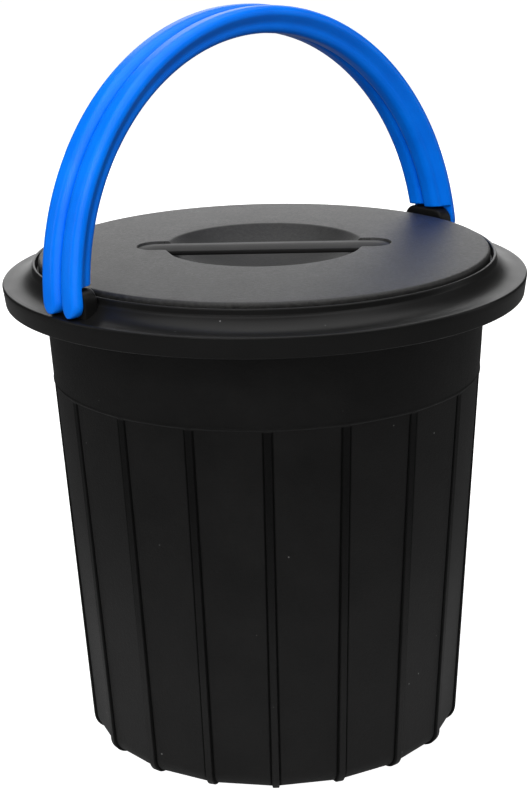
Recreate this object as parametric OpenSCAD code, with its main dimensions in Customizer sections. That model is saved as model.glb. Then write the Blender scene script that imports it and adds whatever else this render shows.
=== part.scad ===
// Portable camp toilet: a ribbed bucket under a wide seat rim, with a flat lift-off lid.
// Two half-ring handles stand side by side and fold outwards, each into one half of the
// rim's valley, where together they make the seat ring.
// Millimetres. +Z is up, the origin is at the middle of the base, and X runs along the
// handle pivots. The front is -Y.

/* [Overall] */
// Height of the rim's outer edge above the ground
rim_edge_z = 341; // [320:1:420]
// Radius of the seat rim at its outer edge
rim_r = 185; // [183.5:0.5:222]

/* [Bucket] */
// Outer radius of the bucket wall at ground level, as if it ran down to a sharp corner
bucket_foot_r = 135.6; // [108:0.1:142]
// Radius of the bucket's mouth inside, under the rim
bucket_mouth_r = 153.4; // [152.9:0.1:156]
// Thickness of the bucket wall
bucket_wall = 2.6; // [2:0.1:3.2]
// Thickness of the bucket floor
bucket_floor = 3; // [2:0.1:5]
// Radius of the rounded bottom corner
bucket_corner_r = 14; // [8:0.5:20]
// Distance from the rim's outer edge down to the ledge where the ribs start
ledge_drop = 70; // [40:1:120]
// How far the panels between the ribs are set back behind the smooth upper band
panel_recess = 1; // [0.5:0.1:1.6]
// Number of upright ribs around the bucket
rib_count = 18; // [12:1:24]
// Width of one rib
rib_w = 4.5; // [3:0.1:8]
// Turn of the rib pattern from the handle pivots, in degrees
rib_turn = 7; // [0:1:20]
// Height of the feet that the ribs make under the floor
foot_h = 0.6; // [0.4:0.1:3]
// Width of the flange at the bucket's mouth
bucket_flange_w = 5.2; // [3:0.1:6]
// Thickness of the flange at the bucket's mouth
bucket_flange_t = 3; // [2:0.1:4]

/* [Seat rim] */
// Wall thickness of the rim moulding
rim_wall = 2.6; // [2:0.1:3]
// Radius of the rim's clear opening
opening_r = 149.5; // [140:0.5:150]
// Depth of the rim's collar inside the bucket, from the bucket's top
collar_h = 25; // [12:1:40]
// Height of the lip's top above the rim's outer edge
lip_h = 13; // [12:0.1:16]
// Thickness of the lip around the lid
lip_t = 2.6; // [2:0.1:4]
// Radius of the concave valley that the folded handles lie in
valley_arc_r = 21; // [20.5:0.5:23]
// Height of the rim's outer skirt
skirt_h = 14.6; // [8:0.1:30]
// How far the skirt draws in towards its lower edge
skirt_draft = 1.8; // [0:0.1:5]
// Depth of the recess that the lid drops into, from the lip's top
lid_recess = 7; // [5:0.1:8]

/* [Lid] */
// Gap between the lid's edge and the lip around it
lid_gap = 2; // [1:0.1:4]
// Thickness of the lid
lid_t = 2.6; // [2:0.1:4]
// Height of the lid's edge above the ledge that it rests on
lid_edge_h = 10; // [7:0.1:14]
// Height that the lid's crown rises above its edge
lid_crown = 3; // [0:0.1:6]
// Radius of the lid's dished grip
dish_r = 70; // [50:1:75]
// Depth of the lid's dished grip
dish_depth = 28; // [20:0.5:34]
// Depth of the locating ring under the lid
lid_ring_h = 16; // [8:1:24]
// Turn of the lid's grip bar from the handle pivots, in degrees
lid_turn = -44.4; // [-90:0.1:90]
// Length of the grip bar
bar_len = 179.3; // [172:0.1:200]
// Width of the grip bar
bar_w = 27; // [22:0.1:32.4]
// Thickness of the grip bar
bar_t = 4.5; // [3.5:0.1:6]
// How far the grip bar stands above the lid
bar_proud = 0; // [0:0.1:2]
// Gap around the ends of the grip bar in their pockets
bar_gap = 0.5; // [0.3:0.1:1]

/* [Handles] */
// Width of one upright handle, across the pair
handle_w = 18.3; // [15:0.1:19]
// Depth of the handle's section, from its outer face to its inner face
handle_depth = 19; // [17:0.1:19.2]
// Gap between the two upright handles
handle_gap = 0.7; // [0.4:0.1:2]
// Thickness of the tongue that carries the pivot at each end of a handle
tongue_t = 7.5; // [6:0.1:9]
// Set-back of the handle's inner side, which rests over the slope of the valley
handle_relief = 4; // [3.8:0.1:6]
// Rounding of the handle's outer edges
handle_round = 7; // [5.5:0.1:7]
// Rounding of the handle's inner edges
handle_inner_round = 5; // [4.5:0.1:6]
// How far the pair of upright handles leans to the rear, in degrees
handle_lean = 5.6; // [0:0.1:6]
// How far the handles' outer face is inside the rim's outer edge
handle_inset = 0.5; // [0:0.1:1]

/* [Pivots] */
// Radius of the round ends of the lug's top, around each pivot
lug_r = 9.3; // [7:0.1:9.4]
// Thickness of the lug from its inner to its outer face
lug_t = 11.3; // [9:0.1:11.3]
// Gap between the lug's outer face and the handle's tongue
lug_gap = 0.5; // [0.3:0.1:1]
// Gap between the lug's top and the handle above it
lug_top_gap = 1.3; // [1.2:0.1:3]
// Radius of a pivot pin
pin_r = 3; // [2:0.1:4]
// Length of a pivot pin inside the lug
pin_in_lug = 8; // [5:0.1:8.5]
// Length of a pivot pin inside the handle's tongue
pin_in_tongue = 5; // [3:0.1:5]

/* [Clearances] */
// Gap between a folded handle and the lowest part of the valley
valley_clearance = 0.9; // [0.9:0.05:1.5]
// Radial clearance of a pivot pin in its lug
pin_clearance = 0.05; // [0.02:0.01:0.1]
// Gap past the end of a pivot pin in its lug
pin_end_gap = 0.3; // [0.2:0.1:1]
// Gap between the rim's collar and the bucket's wall, and under the flange
collar_clearance = 0.4; // [0.2:0.05:0.6]
// Gap between the lid's locating ring and the rim's opening
lid_ring_clearance = 0.9; // [0.4:0.1:2]
// Gap between the lid's edge and the ledge that carries it
lid_seat_gap = 0.1; // [0.05:0.05:0.3]

/* [Hidden] */
$fn = 96;
slop = 1;          // overlap that makes a cut run past a face
facet_deg = 6;     // step of the arcs in the revolved outlines

// Rim outline, seen as radius and height
web_z = rim_edge_z + lip_h - lid_recess;            // ledge that the lid rests on
bucket_top_z = web_z - rim_wall;                    // underside of that ledge
valley_low_z = rim_edge_z + 0.2;
valley_centre_r = rim_r - 3.5;
valley_centre_z = valley_low_z + valley_arc_r;
handle_outer_r = rim_r - handle_inset;
handle_inner_r = handle_outer_r - handle_depth;
lip_outer_r = handle_inner_r - 1.7;
lip_inner_r = lip_outer_r - lip_t;
lip_foot_r = lip_outer_r + 0.7;
edge_round = 1.5;                                   // rounding of the rim's outer edge

// Bucket
bucket_mouth_outer_r = bucket_mouth_r + bucket_wall + panel_recess;
wall_slope = (bucket_mouth_outer_r - bucket_foot_r) / bucket_top_z;
ledge_z = rim_edge_z - ledge_drop;
flange_r = bucket_mouth_outer_r + bucket_flange_w;
snap_wall = 2.2;                                    // ring that snaps over the bucket's flange
snap_bite = 1.3;
snap_h = 3;

// Handles and pivots
pivot_y = (handle_w + handle_gap) / 2;
pivot_z = valley_low_z + valley_clearance + handle_w / 2;
arc_z = pivot_z - pivot_y;                          // centre of each handle's half ring
tongue_inner_x = handle_outer_r - tongue_t;
lug_outer_x = tongue_inner_x - lug_gap;
lug_inner_x = lug_outer_x - lug_t;
end_round_r = handle_w / 2 - 0.1;

// Lid
lid_r = lip_inner_r - lid_gap;
lid_edge_z = web_z + lid_edge_h;
lid_edge_round = 2.5;
dish_z = lid_edge_z + lid_crown;                    // height of the dish's upper edge
dish_sphere_r = (dish_r * dish_r + dish_depth * dish_depth) / (2 * dish_depth);
dish_centre_z = dish_z - dish_depth + dish_sphere_r;
bar_top_z = dish_z + bar_proud;
bar_end_x = bar_len / 2 - bar_w / 2;                // centre of the bar's round ends
pocket_wall = 2.2;
pocket_z = bar_top_z - bar_t;                       // floor of the bar's pockets
// radius at which the dish has dropped below the bar's underside
pocket_inner_r = sqrt(pow(dish_sphere_r, 2) - pow(dish_centre_z - pocket_z, 2)) - 1;

// Points of an arc from angle a0 to a1
function arc(cx, cz, r, a0, a1) =
    let (n = max(1, ceil(abs(a1 - a0) / facet_deg)))
    [for (i = [0:n]) let (a = a0 + (a1 - a0) * i / n) [cx + r * cos(a), cz + r * sin(a)]];

// Outer radius of the bucket's smooth band and of its ribs at a height
function bucket_r(z) = bucket_foot_r + wall_slope * z;

// Outline of the bucket's outside set back by an amount, with its round bottom corner
function cup_outline(back, bottom_z, top_z) =
    let (tilt = atan(wall_slope),
         r = bucket_corner_r,
         cz = bottom_z + r,
         cr = bucket_r(cz) - back - r / cos(tilt) )
    concat([[0, bottom_z]], arc(cr, cz, r, -90, -tilt), [[bucket_r(top_z) - back, top_z], [0, top_z]]);

module upright_bar(length, width, thickness) {
    linear_extrude(thickness) {
        translate([-length / 2 + width / 2, -width / 2]) square([length - width, width]);
        for (side = [-1, 1]) translate([side * (length / 2 - width / 2), 0]) circle(d = width);
    }
}

module rib_bars() {
    for (i = [0:rib_count - 1]) rotate([0, 0, rib_turn + i * 360 / rib_count])
        translate([bucket_foot_r / 2, -rib_w / 2, -slop]) cube([rim_r, rib_w, ledge_z + slop]);
}

module rib_ring() {
    foot_inner_r = bucket_foot_r - 2.2 * bucket_corner_r;
    intersection() {
        rotate_extrude() difference() {
            polygon(cup_outline(0, 0, ledge_z));
            translate([0, -slop]) square([foot_inner_r, ledge_z + 2 * slop]);
            polygon([[0, foot_h + 1], [foot_inner_r, foot_h + 1],
                     [bucket_r(2 * bucket_corner_r) - panel_recess - 1.2, 2 * bucket_corner_r],
                     [bucket_r(ledge_z) - panel_recess - 1.2, ledge_z + slop], [0, ledge_z + slop]]);
        }
        rib_bars();
    }
}

module bucket() {
    floor_z = foot_h + bucket_floor;
    color([0.10, 0.10, 0.10]) difference() {
        union() {
            rotate_extrude() polygon(cup_outline(panel_recess, foot_h, ledge_z));
            rotate_extrude() polygon([[0, ledge_z], [bucket_r(ledge_z), ledge_z],
                                      [bucket_r(bucket_top_z), bucket_top_z], [0, bucket_top_z]]);
            translate([0, 0, bucket_top_z - bucket_flange_t]) cylinder(r = flange_r, h = bucket_flange_t);
            rib_ring();
        }
        rotate_extrude() polygon(concat(
            [[0, floor_z]],
            arc(bucket_r(floor_z + bucket_corner_r) - panel_recess - bucket_wall - bucket_corner_r,
                floor_z + bucket_corner_r, bucket_corner_r, -90, 0),
            [[bucket_mouth_r, bucket_top_z], [bucket_mouth_r, bucket_top_z + slop],
             [0, bucket_top_z + slop]]));
    }
}

module rim_outline() {
    foot_angle = acos((valley_centre_r - lip_foot_r) / valley_arc_r);
    under_r = valley_arc_r + rim_wall;
    under_angle = asin((valley_centre_z - bucket_top_z) / under_r);
    skirt_low_z = rim_edge_z - skirt_h;
    bead_r = lip_t / 2;
    polygon(concat(
        [[opening_r, bucket_top_z], [opening_r, web_z], [lip_inner_r, web_z]],
        arc(lip_inner_r + bead_r, rim_edge_z + lip_h - bead_r, bead_r, 180, 0),
        arc(valley_centre_r, valley_centre_z, valley_arc_r, 180 + foot_angle, 270),
        arc(rim_r - edge_round, rim_edge_z - edge_round, edge_round, 90, 0),
        [[rim_r - skirt_draft, skirt_low_z], [rim_r - skirt_draft - rim_wall, skirt_low_z],
         [rim_r - rim_wall - edge_round / 2, rim_edge_z - rim_wall - edge_round]],
        arc(valley_centre_r, valley_centre_z, under_r, 270, 180 + under_angle)));
}

module lug() {
    lug_half = pivot_y + lug_r;
    rotate([90, 0, 90]) linear_extrude(lug_t) polygon(concat(
        [[-lug_half, rim_edge_z - rim_wall / 2], [lug_half, rim_edge_z - rim_wall / 2]],
        arc(pivot_y, pivot_z, lug_r, 0, 90),
        arc(-pivot_y, pivot_z, lug_r, 90, 180)));
}

module seat_rim() {
    collar_r = bucket_mouth_r - wall_slope * collar_h - collar_clearance;
    snap_r = flange_r + collar_clearance;
    snap_low_z = bucket_top_z - bucket_flange_t - collar_clearance - snap_h;
    color([0.17, 0.17, 0.17]) difference() {
        union() {
            rotate_extrude() {
                rim_outline();
                polygon([[opening_r, bucket_top_z + slop], [opening_r, bucket_top_z - collar_h],
                         [collar_r, bucket_top_z - collar_h], [collar_r, bucket_top_z + slop]]);
                polygon([[snap_r, bucket_top_z + slop], [snap_r, snap_low_z + snap_h],
                         [snap_r - snap_bite, snap_low_z + snap_h], [snap_r, snap_low_z],
                         [snap_r + snap_wall, snap_low_z], [snap_r + snap_wall, bucket_top_z + slop]]);
            }
            for (side = [0, 180]) rotate([0, 0, side]) translate([lug_inner_x, 0, 0]) lug();
        }
        for (side = [0, 180], y = [-pivot_y, pivot_y]) rotate([0, 0, side])
            translate([lug_outer_x - pin_in_lug - pin_end_gap, y, pivot_z]) rotate([0, 90, 0])
                cylinder(r = pin_r + pin_clearance, h = pin_in_lug + pin_end_gap + slop);
    }
}

module lid_outline() {
    ring_r = opening_r - lid_ring_clearance;
    crown_r = lid_r - lid_edge_round;
    dish_edge_a = -asin((dish_centre_z - dish_z) / dish_sphere_r);
    under_sphere_r = dish_sphere_r + lid_t;
    under_z = dish_z - lid_t;
    under_a = -asin((dish_centre_z - under_z) / under_sphere_r);
    polygon(concat(
        arc(0, dish_centre_z, dish_sphere_r, -90, dish_edge_a),
        [[dish_r + (crown_r - dish_r) * 0.35, dish_z - lid_crown * 0.2],
         [dish_r + (crown_r - dish_r) * 0.7, dish_z - lid_crown * 0.6]],
        arc(crown_r, lid_edge_z - lid_edge_round, lid_edge_round, 90, 0),
        [[lid_r, web_z + lid_seat_gap], [lid_r - lid_t, web_z + lid_seat_gap],
         [lid_r - lid_t, lid_edge_z - lid_t - 1],
         [ring_r, lid_edge_z - lid_t], [ring_r, web_z - lid_ring_h + lid_t], [ring_r - 1, web_z - lid_ring_h],
         [ring_r - lid_t, web_z - lid_ring_h], [ring_r - lid_t, lid_edge_z - lid_t]],
        arc(0, dish_centre_z, under_sphere_r, under_a, -90)));
}

module lid() {
    pocket_len = bar_len + 2 * bar_gap;
    pocket_w = bar_w + 2 * bar_gap;
    color([0.24, 0.24, 0.24]) rotate([0, 0, lid_turn]) difference() {
        union() {
            rotate_extrude() lid_outline();
            difference() {
                translate([0, 0, pocket_z - pocket_wall])
                    upright_bar(pocket_len + 2 * pocket_wall, pocket_w + 2 * pocket_wall,
                                dish_z - pocket_z + pocket_wall - 1.6);
                translate([0, 0, pocket_z - pocket_wall - slop]) cylinder(r = pocket_inner_r + 1, h = bar_t + 9);
            }
        }
        difference() {
            translate([0, 0, pocket_z]) upright_bar(pocket_len, pocket_w, bar_t + slop);
            translate([0, 0, pocket_z - slop]) cylinder(r = pocket_inner_r, h = bar_t + 9);
        }
    }
}

module lid_grip_bar() {
    color([0.15, 0.15, 0.15]) rotate([0, 0, lid_turn])
        translate([0, 0, bar_top_z - bar_t]) upright_bar(bar_len, bar_w, bar_t);
}

// Section of a handle: radius across, and distance from the middle of its width up.
// The high side meets the other handle; the low side rests in the valley when it is folded.
module handle_section() {
    half = handle_w / 2;
    inner_low = -half + handle_relief;
    inner_r = handle_inner_r + handle_inner_round;
    outer_round = min(handle_round, tongue_t - 0.5);
    outer_r = handle_outer_r - outer_round;
    polygon(concat(
        arc(outer_r, half - outer_round, outer_round, 0, 90),
        arc(inner_r, half - handle_inner_round, handle_inner_round, 90, 180),
        arc(inner_r, inner_low + handle_inner_round, handle_inner_round, 180, 270),
        [[outer_r - 1.6, inner_low], [outer_r - 0.8, -half + 0.9], [outer_r - 0.2, -half + 0.2]],
        arc(outer_r, -half + outer_round, outer_round, 270, 360)));
}

// One handle in the plane of its pivots, with the pivots at the origin
module half_ring() {
    difference() {
        translate([0, 0, arc_z - pivot_z]) rotate([90, 0, 0])
            rotate_extrude(angle = 180, $fn = 192) mirror([0, 1]) handle_section();
        translate([-tongue_inner_x, -handle_w, -handle_w])
            cube([2 * tongue_inner_x, 2 * handle_w, handle_w + lug_r + lug_top_gap]);
        difference() {
            translate([-rim_r - slop, -handle_w, -2 * handle_w])
                cube([2 * (rim_r + slop), 2 * handle_w, 2 * handle_w]);
            rotate([0, 90, 0]) cylinder(r = end_round_r, h = 2 * rim_r + 4 * slop, center = true);
        }
        for (side = [0, 180]) rotate([0, 0, side])
            translate([tongue_inner_x - slop, 0, 0]) rotate([0, 90, 0])
                cylinder(r = pin_r, h = pin_in_tongue + slop);
    }
}

module front_handle() {
    color([0.02, 0.40, 0.92]) translate([0, -pivot_y, pivot_z]) rotate([-handle_lean, 0, 0]) half_ring();
}

module rear_handle() {
    color([0.02, 0.40, 0.92]) translate([0, pivot_y, pivot_z]) rotate([-handle_lean, 0, 0])
        mirror([0, 1, 0]) half_ring();
}

module pivot_pin(side, y) {
    color([0.7, 0.7, 0.72]) rotate([0, 0, side > 0 ? 0 : 180])
        translate([lug_outer_x - pin_in_lug, side > 0 ? y : -y, pivot_z]) rotate([0, 90, 0])
            cylinder(r = pin_r, h = pin_in_lug + lug_gap + pin_in_tongue);
}

module front_left_pivot_pin() { pivot_pin(-1, -pivot_y); }
module front_right_pivot_pin() { pivot_pin(1, -pivot_y); }
module rear_left_pivot_pin() { pivot_pin(-1, pivot_y); }
module rear_right_pivot_pin() { pivot_pin(1, pivot_y); }

bucket();
seat_rim();
lid();
lid_grip_bar();
front_handle();
rear_handle();
front_left_pivot_pin();
front_right_pivot_pin();
rear_left_pivot_pin();
rear_right_pivot_pin();
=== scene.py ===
# %% [markdown]
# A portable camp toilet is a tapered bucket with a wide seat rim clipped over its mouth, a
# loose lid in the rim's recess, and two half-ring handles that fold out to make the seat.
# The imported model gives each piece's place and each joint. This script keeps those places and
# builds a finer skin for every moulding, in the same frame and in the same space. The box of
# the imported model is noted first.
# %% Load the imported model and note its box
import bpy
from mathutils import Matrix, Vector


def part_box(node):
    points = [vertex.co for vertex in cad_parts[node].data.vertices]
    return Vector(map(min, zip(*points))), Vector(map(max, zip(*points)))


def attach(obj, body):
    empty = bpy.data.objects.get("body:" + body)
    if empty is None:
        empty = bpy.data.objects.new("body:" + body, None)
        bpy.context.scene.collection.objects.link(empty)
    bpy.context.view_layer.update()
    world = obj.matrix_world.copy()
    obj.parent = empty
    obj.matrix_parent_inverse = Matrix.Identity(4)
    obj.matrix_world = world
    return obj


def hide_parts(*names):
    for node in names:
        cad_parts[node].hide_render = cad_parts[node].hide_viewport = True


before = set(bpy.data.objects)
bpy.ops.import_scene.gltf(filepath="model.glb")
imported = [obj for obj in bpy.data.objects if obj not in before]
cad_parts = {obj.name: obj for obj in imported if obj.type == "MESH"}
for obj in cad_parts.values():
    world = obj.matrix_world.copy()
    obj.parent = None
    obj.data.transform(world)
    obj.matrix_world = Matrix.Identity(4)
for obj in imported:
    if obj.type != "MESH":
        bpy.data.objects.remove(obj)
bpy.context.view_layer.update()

# %% [markdown]
# Moulded parts are drawn in millimetres, and Blender's scene is in metres. All outlines below
# are written in millimetres, because that is how a maker thinks of a wall or a rounding, and
# one helper turns them into metres when a mesh is made.
# %% Units and boxes
import math

import bpy
import numpy as np

MM = 0.001


def box_mm(node):
    """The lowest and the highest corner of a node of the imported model, in millimetres."""
    low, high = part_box(node)
    return np.array(low) / MM, np.array(high) / MM


bucket_high = box_mm("bucket")[1]
rim_high = box_mm("seat_rim")[1]
lid_high = box_mm("lid")[1]
bar_low, bar_high = box_mm("lid_grip_bar")
pin_low, pin_high = box_mm("front_right_pivot_pin")
print("bucket top", bucket_high[2], "rim radius", rim_high[0], "lid top", lid_high[2])

# %% [markdown]
# The camera stands to the left of the front and looks slightly down. A camera is easy to place
# from three numbers that a photographer would use: how far round it stands, how high it looks
# from, and how far away it is. Its own small tilt about the line of sight comes last. The
# three directions right, up and back make the columns of its matrix.
# %% Camera
VIEW_TURN = math.radians(42.68)
VIEW_RISE = math.radians(16.78)
VIEW_TILT = math.radians(1.39)
VIEW_DISTANCE = 1.5
VIEW_LENS = 93.52
AIM_SIDEWAYS = -0.00188
AIM_HEIGHT = 0.245

right = np.array([math.cos(VIEW_TURN), -math.sin(VIEW_TURN), 0.0])
ahead = np.array([math.sin(VIEW_TURN), math.cos(VIEW_TURN), 0.0])
above = np.array([0.0, 0.0, 1.0])
view_up = math.sin(VIEW_RISE) * ahead + math.cos(VIEW_RISE) * above
view_back = -math.cos(VIEW_RISE) * ahead + math.sin(VIEW_RISE) * above
camera_x = math.cos(VIEW_TILT) * right - math.sin(VIEW_TILT) * view_up
camera_y = math.sin(VIEW_TILT) * right + math.cos(VIEW_TILT) * view_up
camera_place = AIM_SIDEWAYS * right + AIM_HEIGHT * above + VIEW_DISTANCE * view_back

camera = bpy.data.objects.new("camera", bpy.data.cameras.new("camera"))
camera.data.sensor_width = 36
camera.data.lens = VIEW_LENS
camera_matrix = np.eye(4)
camera_matrix[:3, 0] = camera_x
camera_matrix[:3, 1] = camera_y
camera_matrix[:3, 2] = view_back
camera_matrix[:3, 3] = camera_place
camera.matrix_world = camera_matrix.T.tolist()
bpy.context.scene.collection.objects.link(camera)
bpy.context.scene.camera = camera
print("camera at", camera_place.round(3))

# %% [markdown]
# Every moulding here is a grid of points: rows run along an outline and columns run round the
# piece. One helper joins neighbours with four-sided faces, closes the seam where the columns
# meet, and closes a pole with a fan of triangles to a single point. It then measures the
# volume that the faces enclose: a negative volume means that they point inwards, so they are
# turned round.
# %% From a grid of points to a mesh
def grid_faces(rows, columns, loop_rows, first_pole, last_pole):
    """Corner numbers of all faces, four for each cell of the grid and three at the poles."""
    number = np.arange(rows * columns).reshape(rows, columns)
    this_row = number if loop_rows else number[:-1]
    next_row = np.roll(number, -1, axis=0) if loop_rows else number[1:]
    cells = np.stack([this_row, np.roll(this_row, -1, 1), np.roll(next_row, -1, 1), next_row], -1)
    fans = []
    point = rows * columns
    for pole, row, step in ((first_pole, number[0], -1), (last_pole, number[-1], 1)):
        if pole is not None:
            around = np.roll(row, -step)
            fans.append(np.stack([row, around, np.full(columns, point)], -1))
            point += 1
    fans = np.concatenate(fans) if fans else np.zeros((0, 3), int)
    return cells.reshape(-1, 4), fans


def enclosed_volume(points, quads, fans):
    """Sum over the triangles of (a . (b x c)) / 6, which is the volume inside closed faces."""
    triangles = np.concatenate([quads[:, [0, 1, 2]], quads[:, [0, 2, 3]], fans])
    a, b, c = (points[triangles[:, i]] for i in range(3))
    return float(np.einsum("ij,ij->i", a, np.cross(b, c)).sum() / 6)


def skin(name, grid, loop_rows=False, first_pole=None, last_pole=None, marks=None):
    """Makes an object from a grid of points in millimetres, rows x columns x 3. Columns always
    close on themselves; rows close if loop_rows is set; a pole is the point that closes the
    first or last row. marks holds one number a grid point for each named attribute."""
    rows, columns = grid.shape[:2]
    poles = [p for p in (first_pole, last_pole) if p is not None]
    points = np.concatenate([grid.reshape(-1, 3)] + [np.reshape(p, (1, 3)) for p in poles]) * MM
    quads, fans = grid_faces(rows, columns, loop_rows, first_pole, last_pole)
    if enclosed_volume(points, quads, fans) < 0:
        quads, fans = quads[:, ::-1], fans[:, ::-1]
    corners = np.concatenate([quads.ravel(), fans.ravel()]).astype(np.int32)
    sizes = np.concatenate([np.full(len(quads), 4), np.full(len(fans), 3)])
    starts = np.concatenate([[0], np.cumsum(sizes)[:-1]]).astype(np.int32)
    mesh = bpy.data.meshes.new(name)
    mesh.vertices.add(len(points))
    mesh.vertices.foreach_set("co", points.astype(np.float32).ravel())
    mesh.loops.add(len(corners))
    mesh.loops.foreach_set("vertex_index", corners)
    mesh.polygons.add(len(starts))
    mesh.polygons.foreach_set("loop_start", starts)
    mesh.polygons.foreach_set("use_smooth", np.ones(len(starts), bool))
    mesh.update(calc_edges=True)
    mesh.validate()
    for mark, values in (marks or {}).items():
        layer = mesh.attributes.new(mark, "FLOAT", "POINT")
        padded = np.concatenate([np.asarray(values, float).ravel(), np.zeros(len(poles))])
        layer.data.foreach_set("value", padded.astype(np.float32))
    piece = bpy.data.objects.new(name, mesh)
    bpy.context.scene.collection.objects.link(piece)
    print(f"{name}: {len(points)} points, {len(quads) * 2 + len(fans)} triangles")
    return piece


# %% [markdown]
# Moulded plastic has no sharp edges, because a sharp corner neither fills nor leaves the mould
# well. So an outline is written as a few corners, each with its rounding, and a helper puts a
# small arc in the place of each corner. Two more helpers give a plain arc and stretches that
# are cut into short steps.
# %% Outlines
def arc(centre_r, centre_z, radius, start, end, step=5.0):
    """Points centre + radius * (cos a, sin a), with a from start to end in degrees."""
    count = max(2, math.ceil(abs(end - start) / step) + 1)
    turn = np.radians(np.linspace(start, end, count))
    return np.column_stack([centre_r + radius * np.cos(turn), centre_z + radius * np.sin(turn)])


def rounded_corner(before, corner, after, radius, step=12.0):
    """The arc that touches both lines at a corner: its ends lie radius * tan(turn / 2) from the
    corner, and its middle points follow a circle of that radius between them."""
    before, corner, after = (np.array(p[:2], float) for p in (before, corner, after))
    back = (before - corner) / np.linalg.norm(before - corner)
    on = (after - corner) / np.linalg.norm(after - corner)
    turn = math.pi - math.acos(np.clip(back @ on, -1, 1))
    if radius <= 0 or turn < 0.02:
        return corner[None]
    reach = radius * math.tan(turn / 2)
    middle = (back + on) / np.linalg.norm(back + on)
    centre = corner + middle * math.hypot(reach, radius)
    count = max(3, math.ceil(math.degrees(turn) / step) + 1)
    share = np.linspace(0, 1, count)[:, None]
    first = corner + back * reach - centre
    last = corner + on * reach - centre
    weights = np.sin((1 - share) * turn), np.sin(share * turn)
    return centre + (first * weights[0] + last * weights[1]) / math.sin(turn)


def rounded_outline(corners, closed=True):
    """Joins the rounded corners of an outline. A corner is (r, z, rounding)."""
    count = len(corners)
    parts = []
    for i, corner in enumerate(corners):
        end = not closed and i in (0, count - 1)
        radius = 0 if end or len(corner) < 3 else corner[2]
        parts.append(rounded_corner(corners[i - 1], corner, corners[(i + 1) % count], radius))
    return np.concatenate(parts)


def with_steps(outline, longest, closed=False):
    """Adds points along each stretch of an outline that is longer than the given step."""
    ends = np.roll(outline, -1, axis=0) if closed else outline[1:]
    starts = outline if closed else outline[:-1]
    parts = []
    for start, end in zip(starts, ends):
        count = max(1, math.ceil(np.linalg.norm(end - start) / longest))
        share = np.arange(count)[:, None] / count
        parts.append(start + (end - start) * share)
    return np.concatenate(parts if closed else parts + [outline[-1:]])


def smooth_step(value, low, high):
    """0 below low, 1 above high, and 3 t^2 - 2 t^3 between them."""
    t = np.clip((np.asarray(value, float) - low) / (high - low), 0, 1)
    return t * t * (3 - 2 * t)


def revolve(outline, turns):
    """Carries an outline of radius and height round the upright axis: x = r cos a, y = r sin a."""
    r, z = outline[:, :1], outline[:, 1:2]
    return np.stack([r * np.cos(turns), r * np.sin(turns), np.broadcast_to(z, (len(r), len(turns)))], -1)


# %% [markdown]
# The bucket is one moulding that tapers towards its foot. Below a smooth upper band it has
# eighteen flat panels with a narrow rib between each two, and the ribs run under the bottom
# edge as small feet. A thin bead marks the ledge where the ribs end, and a shallow groove runs
# beside each rib. It could be a cone with cut-out panels, but then the rounded edges would be
# hard to get. Instead two outlines are drawn, one through a rib and one through a panel, with
# the same number of points, and the surface moves from one to the other across the side of
# each rib. The panels are flattened between the ribs, more so towards the foot.
# %% Bucket: driving sizes
FOOT_R = 135.6
MOUTH_R = 153.4
FLANGE_W = 5.2
FLANGE_T = 3.0
WALL_T = 2.6
FLOOR_T = 3.0
LEDGE_DROP = 70.0
RIB_COUNT = 18
RIB_TURN = math.radians(7)
RIB_TOP_HALF = 2.1
RIB_FOOT_HALF = 2.7
RIB_RISE_TOP = 0.25
RIB_RISE_FOOT = 1.3
GROOVE_DEPTH = 0.5
BEAD_RISE = 0.4
FOOT_H = 0.6
FOOT_INNER_R = 104.0
RIB_CORNER = 12.0
PANEL_CORNER = 13.0
FLAT_TOP = 0.35

rim_edge_z = 341.0
bucket_top_z = bucket_high[2]
band_top_r = bucket_high[0] - FLANGE_W
wall_slope = (band_top_r - FOOT_R) / bucket_top_z
ledge_z = rim_edge_z - LEDGE_DROP


def wall_r(z):
    """Outer radius of the smooth band and of the ribs: the foot radius plus the slope times z."""
    return FOOT_R + wall_slope * z


print("wall leans by", round(math.degrees(math.atan(wall_slope)), 2), "degrees")


# %% Bucket: outlines through a rib and through a panel
def foot_and_wall(set_back, bottom_z, corner, top_z, wall_rows):
    """Underside, rounded corner and wall of one outline. set_back(z) is how far the wall stands
    behind the ribs' line at a height; the corner is a quarter circle that touches the wall."""
    lean = math.degrees(math.atan(wall_slope))
    centre_z = bottom_z + corner
    centre_r = wall_r(centre_z) - set_back(centre_z) - corner / math.cos(math.radians(lean))
    under = np.column_stack([np.linspace(8, FOOT_INNER_R, 8), np.full(8, FOOT_H)])
    heel_r = np.array([0.6, 1.3, 2.0, 3.0])
    heel_z = FOOT_H + (bottom_z - FOOT_H) * np.array([0.08, 0.5, 0.92, 1.0])
    heel = np.column_stack([FOOT_INNER_R + heel_r, heel_z])
    flat = np.column_stack([np.linspace(FOOT_INNER_R + 5, centre_r - 0.4, 5), np.full(5, bottom_z)])
    bend = arc(centre_r, centre_z, corner, -90, -lean, 6.5)
    z = np.linspace(centre_z + 0.6, top_z, wall_rows)
    wall = np.column_stack([wall_r(z) - set_back(z), z])
    return np.concatenate([under, heel, flat, bend, wall])


def panel_set_back(z):
    """The panels' edges stand behind the ribs by a depth that grows towards the foot."""
    share = np.clip(z / ledge_z, 0, 1)
    return RIB_RISE_FOOT + (RIB_RISE_TOP - RIB_RISE_FOOT) * share


def no_set_back(z):
    """The outline through a rib stands on the wall's own line at every height."""
    return np.zeros_like(z)


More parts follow.
